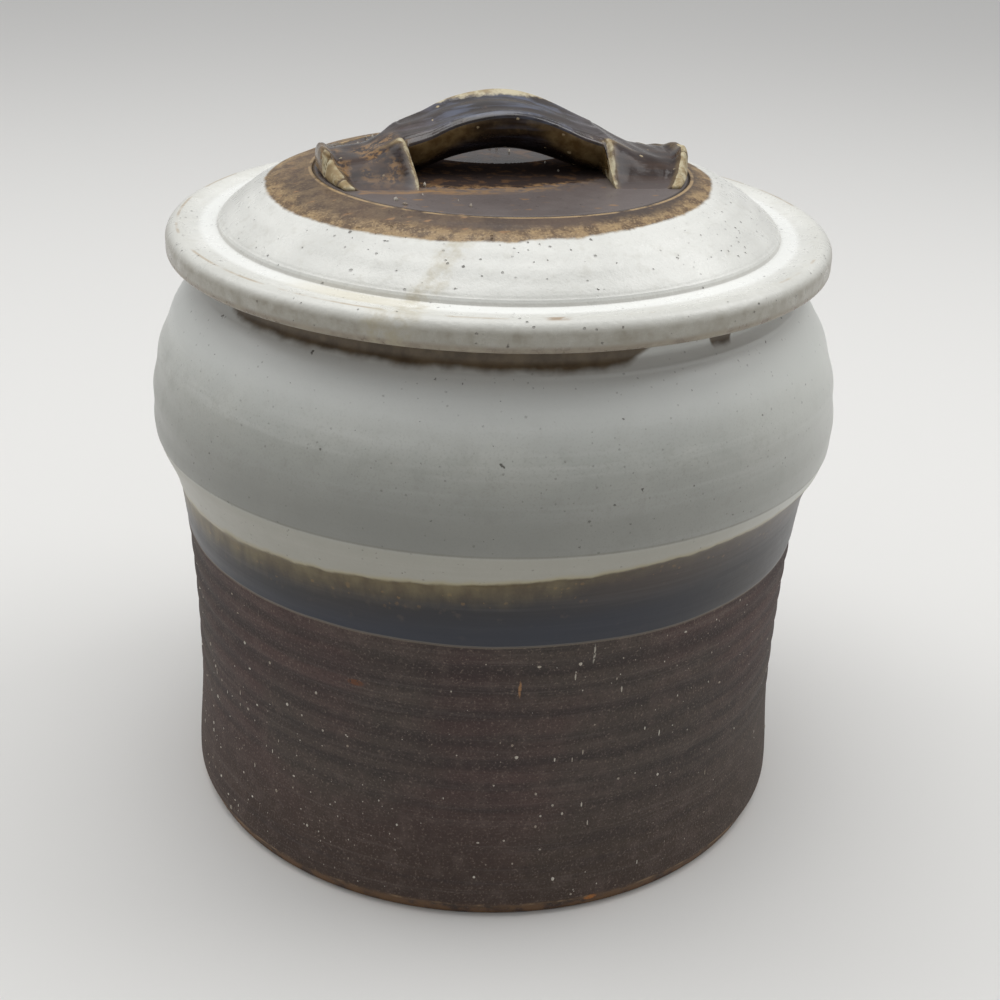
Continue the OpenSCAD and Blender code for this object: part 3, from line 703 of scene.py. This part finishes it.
def handle_mesh():
    """Points, faces, the pale and tan shares of the glaze and the painted shade under the strap, for each point, in mm
    above the flat top.
    """
    x = np.linspace(-pad_r + 0.02, pad_r - 0.02, handle_rows)[:, None]
    v = np.sin(np.linspace(-math.pi / 2, math.pi / 2, handle_spots))[None, :]
    ax = np.abs(x)
    share = smooth(arch_span / 2 - 1.0, arch_span / 2 + 1.4, ax)
    half = strap_w / 2 + (np.minimum(pad_w / 2, np.sqrt(np.maximum(0.3, pad_r**2 - x**2))) - strap_w / 2) * share
    y = half * v
    edge = pad_h + (strap_rise - pad_h) * (1 + np.cos(math.pi * np.minimum(1, ax / arch_reach))) / 2
    edge = edge + 0.7 * swell(x, -18, 8)
    groove = strap_groove * np.maximum(0, 1 - (2 * ax / arch_span) ** 3)
    dish = np.where(v > 0, np.minimum(1, v / 0.88), np.minimum(1, -v / 0.74)) ** 2
    drop = 2.4 * smooth(0.5, -0.9, v) * smooth(40, 20, ax)
    arch = edge - groove * (1 - dish) - drop
    beads = 0.4 * swell(v, -0.55, 0.08) - 0.75 * swell(v, -0.71, 0.06) + 0.25 * swell(v, -0.84, 0.06)
    arch = arch + beads * smooth(34, 24, ax)
    arch = arch + 0.25 * np.sin(9 * v + 0.04 * x) * smooth(-0.5, -0.2, v) * smooth(0.95, 0.8, v)
    crown = edge + lip_rise * smooth(pad_r - 8, pad_r - 1, ax) * (0.2 + 0.8 * smooth(6, -9, y))
    rim = 0.1 + crown * 0.36 * smooth(pad_r - 12, pad_r - 1, ax)
    flat = np.where(v > 0, 0.46 - 0.34 * smooth(29, 37, ax), 0.46) * strap_w / half
    pad = rim + (crown - rim) * (1 - smooth(np.minimum(0.95, flat), 1, np.abs(v)))
    away = pad_r - np.hypot(x, y)
    around = np.arctan2(y, x)
    curl = share * smooth(7, 3, away) * smooth(40, 46, ax)
    split = np.zeros_like(y)
    for where, wide, deep in ((-2.88, 0.5, 1.3), (-2.70, 0.6, 0.5), (-0.22, 0.45, 1.3), (-0.40, 0.5, 0.5),
                              (0.42, 0.5, 0.9), (2.78, 0.5, 1.0)):
        pad = pad - curl * deep * np.exp(-((around - where) * pad_r / wide) ** 2)
        split = split + min(1, deep) * np.exp(-((around - where) * pad_r / (0.8 * wide)) ** 2)
    pad = pad + curl * 0.22 * np.sin(around * 27) + 0.7 * curl * smooth(4.0, 2.4, away)
    pad = pad - 0.6 * smooth(40, 46, ax) * share * swell(away, 4.8, 0.9) * smooth(0.5, 2.0, pad)
    pad = pad + 0.12 * np.sin(x * 0.7 + y * 0.31) * smooth(2, 6, away) * smooth(26, 20, np.abs(y))
    front = np.where(y < 0, 1.0, 0.15)
    ridge = front * swell(ax - arch_span / 2, 1.9, np.where(ax > arch_span / 2 + 1.9, 2.4, 1.0))
    ridge = ridge * smooth(8, 17, np.abs(y)) * smooth(28, 24, np.abs(y))
    pad = pad + 0.9 * ridge * (1 + 0.06 * np.sin(y * 0.8))
    top = arch + (pad - arch) * share
    deep = strap_t + (strap_edge_t - strap_t) * v**2 - 1.0 * smooth(-0.4, -1.0, v)
    under = np.maximum(-0.4, edge - groove * (1 - v**2) - drop - deep) * (1 - share) - 0.5 * share
    middle, thick = (top + under) / 2, (top - under) / 2
    turn_in = np.clip(thick, 0.5, 2.4) / half
    close = np.sqrt(1 - np.clip((np.abs(v) - 1 + turn_in) / turn_in, 0, 1) ** 2)
    end = np.sqrt(1 - np.clip(1 - away / 1.5, 0, 1) ** 2) + (1 - smooth(34, 38, ax))
    close = np.minimum(close, np.clip(end, 0, 1))
    upper, lower = middle + thick * close, middle - thick * close
    n, m = y.shape
    skew = np.where(x < 0, 2.3, 0.5) * smooth(22, 29, ax) * smooth(46, 33, ax) * np.clip((18 - np.abs(y)) / 8, -1, 1)
    flat_x = x + np.sign(x) * skew
    points = np.concatenate([np.stack([flat_x, y, upper], -1), np.stack([flat_x, y, lower], -1)[:, -2:0:-1]], 1)
    loop = points.shape[1]
    side = np.where(x < 0, smooth(-10, -14, y), smooth(3, -3, y))
    lip = smooth(2.9, 2.2, away) * smooth(38, 43, ax) * side * (1 - np.clip(split, 0, 1))
    root = (0.3 + 0.7 * (y < 0)) * smooth(29.0, 29.8, ax) * smooth(9, 14, np.abs(y))
    seam, root = root * smooth(33.6, 30.4, ax), root * smooth(32.2, 30.2, ax)
    crest = smooth(0.46, 0.82, v) * smooth(23, 4, np.abs(x + 1)) + 0.55 * smooth(0.72, 0.88, v) * smooth(46, 30, ax)
    # The pale line along the inner bead is a painted highlight; the pale line at the front edge is a glaze break.
    bead = 0.34 * swell(v, -0.90, 0.05) * smooth(36, 26, ax) + 0.2 * swell(v, -0.56, 0.05) * smooth(34, 22, ax)
    tan_up = 0.5 * smooth(5.0, 3.0, away) * smooth(36, 42, ax) + 0.5 * crest
    tan_up = tan_up + 0.4 * smooth(0.9, 1.0, v) * smooth(48, 40, ax)
    flare = swell(y, -11.5, 2.2) * smooth(25, 30, ax) * smooth(44, 33, ax)
    tan_up = tan_up + 0.6 * seam + 0.75 * flare
    pale_up = np.clip(lip + 0.85 * root + crest + bead + 0.3 * flare, 0, 1)
    pale_low = np.clip(0.7 * lip + 0.9 * root + 0.25 * smooth(0.95, 1.0, -v), 0, 1)
    tan_low = smooth(-0.55, -0.97, v) * (0.35 + 0.65 * smooth(5, 18, ax))
    # The tan reaching further under the strap near its ends is partly the glaze break and partly painted light, where
    # light reaches under the arch.
    tan_low = tan_low + 0.55 * smooth(-0.2, -0.85, v) * smooth(16, 28, ax)
    tan_low = np.minimum(1, tan_low) * smooth(34, 29, ax) + 0.7 * seam
    join = lambda a, b: np.concatenate([np.broadcast_to(a, (n, m)), np.broadcast_to(b, (n, m))[:, -2:0:-1]], 1).ravel()
    # Painted shade: the underside of the strap, away from its front edge.
    belly_shade = join(np.zeros((n, m)), (1 - share) * smooth(-0.80, -0.35, v))
    faces = []
    j = np.arange(loop)
    k = (j + 1) % loop
    for i in range(n - 1):
        faces += np.column_stack([i * loop + j, (i + 1) * loop + j, (i + 1) * loop + k, i * loop + k]).tolist()
    faces += [j.tolist(), ((n - 1) * loop + j).tolist()[::-1]]
    points = points.reshape(-1, 3) + [0, 0, top_z]
    return points, faces, join(pale_up, pale_low), np.clip(join(tan_up, tan_low), 0, 1), belly_shade


points, faces, pale, tan, belly_shade = handle_mesh()
handle = finished("strap_handle_clay", points, faces)
mark(handle, "pale", pale)
mark(handle, "tan", tan)
mark(handle, "belly_shade", belly_shade)
handle_paint, g, shader = material("iron_glaze", 0.6)
at, x, y, z, angle, out = g.place()
pale = g.add("ShaderNodeAttribute", attribute_name="pale").outputs["Fac"]
tan = g.add("ShaderNodeAttribute", attribute_name="tan").outputs["Fac"]
belly_shade = g.add("ShaderNodeAttribute", attribute_name="belly_shade").outputs["Fac"]
cloud = g.noise(at, 45.0, 3.0)
mottle = g.noise(at, 260.0, 4.0, 0.62)
grit = g.noise(at, 1100.0, 3.0, 0.6)
streak = g.noise(g.stretch(at, (14.0, 330.0, 330.0)), 1.0, 3.0)
glaze = g.blend(g.rise(cloud, 0.35, 0.65), colour(34, 26, 23), colour(42, 36, 37))
# Painted sheen: blue-grey streaks along the strap.
glaze = g.tint(glaze, 0.28, g.rise(streak, 0.52, 0.72), (68, 66, 74))
glaze = g.tint(glaze, 0.5, g.rise(mottle, 0.56, 0.74), (88, 66, 48))
# Painted sheen: brighter blue streaks on the high parts of the strap.
high = g.rise(z, 0.2135, 0.2230)
shine = g.times(high, g.rise(g.plus(g.times(streak, 0.6), g.times(cloud, 0.4)), 0.46, 0.62))
glaze = g.blend(shine, glaze, colour(80, 85, 101))
glaze = g.tint(glaze, 0.6, g.rise(streak, 0.50, 0.34), (48, 33, 25))
ends = g.times(g.rise(g.math("ABSOLUTE", x), 0.012, 0.028), g.rise(streak, 0.38, 0.62))
glaze = g.tint(glaze, 0.5, ends, (78, 58, 44))
# Painted shade: the underside of the strap is painted near black.
glaze = g.blend(belly_shade, glaze, colour(20, 15, 13))
left = g.times(g.rise(x, -0.031, -0.036),
               g.times(g.rise(y, 0.004, -0.004), g.rise(g.noise(at, 420.0, 4.0, 0.7), 0.43, 0.57)))
glaze = g.blend(g.times(left, g.rise(g.noise(at, 80.0, 2.0), 0.40, 0.58)), glaze, colour(136, 104, 66))
toe = g.times(g.rise(z, 0.2100, 0.2078), g.rise(y, -0.010, -0.018))
right = g.times(g.rise(x, 0.031, 0.037), g.times(g.rise(y, 0.010, -0.006), g.times(cloud, 0.2)))
glaze = g.blend(right, glaze, colour(80, 72, 70))
satin = g.blend(g.rise(g.noise(at, 26.0, 3.0), 0.35, 0.65), colour(80, 71, 68), colour(91, 82, 79))
glaze = g.blend(g.times(toe, 0.8), glaze, satin)
break_tan = g.rise(g.plus(tan, g.times(g.less(mottle, 0.5), 0.45)), 0.10, 0.95)
olive = g.blend(g.rise(mottle, 0.30, 0.70), colour(98, 76, 44), colour(134, 114, 78))
glaze = g.blend(break_tan, glaze, olive)
break_pale = g.rise(g.plus(pale, g.times(g.less(mottle, 0.5), 1.5)), 0.40, 0.90)
cream = g.blend(g.rise(mottle, 0.40, 0.62), colour(150, 130, 94), colour(194, 184, 154))
cream = g.tint(cream, 0.5, g.rise(grit, 0.44, 0.30), (128, 104, 68))
glaze = g.blend(break_pale, glaze, cream)
crumb = g.group("Specks", {"Position": at, "Scale": 420.0, "Share": 0.06, "Size": 0.25})
glaze = g.tint(glaze, 0.8, crumb, (196, 178, 142))
rough = g.plus(g.plus(g.plus(0.12, g.times(toe, 0.24)), g.times(mottle, 0.10)), g.times(break_pale, 0.34))
height = g.plus(g.plus(g.times(mottle, 0.22), g.times(streak, 0.22)),
                g.plus(g.times(grit, 0.06), g.times(break_pale, 0.25)))
surface(g, shader, glaze, rough, height, 0.0005)
pads = g.rise(g.math("ABSOLUTE", x), 0.028, 0.033)
g.tree.links.new(g.less(0.6, g.times(pads, 0.38)), shader.inputs["Specular IOR Level"])
handle.data.materials.append(handle_paint)
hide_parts("strap_handle")
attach(handle, "lid")

# The stage: a pale seamless floor, soft light from a wide lamp overhead with a weaker one at each side, and the
# camera where the photograph was taken from.

wide, under = 9000, -0.1
corners = [(-wide, -wide, under), (wide, -wide, under), (wide, wide, under), (-wide, wide, under)]
floor = finished("floor", corners, [(0, 1, 2, 3)])
floor_paint, g, shader = material("pale_floor", 0.2)
shader.inputs["Base Color"].default_value = colour(224, 223, 220)
shader.inputs["Roughness"].default_value = 0.7
floor.data.materials.append(floor_paint)

world = bpy.data.worlds.new("studio")
bpy.context.scene.world = world
world.use_nodes = True
g = Graph(world.node_tree)
sky = world.node_tree.nodes["Background"]
sky.inputs[0].default_value = (0.98, 0.985, 1.0, 1.0)
side, back, up = g.add("ShaderNodeSeparateXYZ", {0: g.add("ShaderNodeTexCoord").outputs["Generated"]}).outputs
glow = g.plus(0.28, g.times(g.rise(up, 0.0, 0.8), 0.38))
glow = g.plus(glow, g.times(g.rise(g.math("ABSOLUTE", side), 0.35, 0.95), 0.16))
glow = g.times(glow, g.less(1.0, g.times(g.rise(back, 0.0, -0.9), 0.35)))
g.tree.links.new(g.plus(glow, g.times(g.rise(up, 0.25, 0.0), 0.13)), sky.inputs[1])


def lamp(name, spot, aim, size, power):
    light = bpy.data.lights.new(name, "AREA")
    light.shape, light.size, light.energy = "DISK", size, power
    lamp_object = bpy.data.objects.new(name, light)
    bpy.context.scene.collection.objects.link(lamp_object)
    lamp_object.location = spot
    lamp_object.rotation_mode = "QUATERNION"
    lamp_object.rotation_quaternion = (Vector(aim) - Vector(spot)).to_track_quat("-Z", "Y")


lamp("overhead", (-0.10, 0.10, 1.35), (0, 0, 0.15), 1.1, 6.6)
lamp("left_side", (-0.90, 0.45, 1.10), (0, 0, 0.14), 0.8, 2.8)
lamp("right_side", (0.85, 0.05, 1.15), (0, 0, 0.14), 0.8, 4.6)

camera = bpy.data.objects.new("camera", bpy.data.cameras.new("camera"))
bpy.context.scene.collection.objects.link(camera)
camera.data.sensor_width, camera.data.lens = 36.0, 54.736
camera.data.clip_start, camera.data.clip_end = 0.01, 50.0
spot, pan, dip, roll = (-0.073182, -0.462054, 0.317997), -0.0068225 - math.radians(9), 0.447098, 0.0350822
turn = Matrix.Rotation(pan, 4, "Z") @ Matrix.Rotation(math.pi / 2 - dip, 4, "X")
camera.matrix_world = Matrix.Translation(spot) @ turn @ Matrix.Rotation(roll, 4, "Z")
bpy.context.scene.camera = camera
bpy.context.scene.view_settings.view_transform = "Standard"
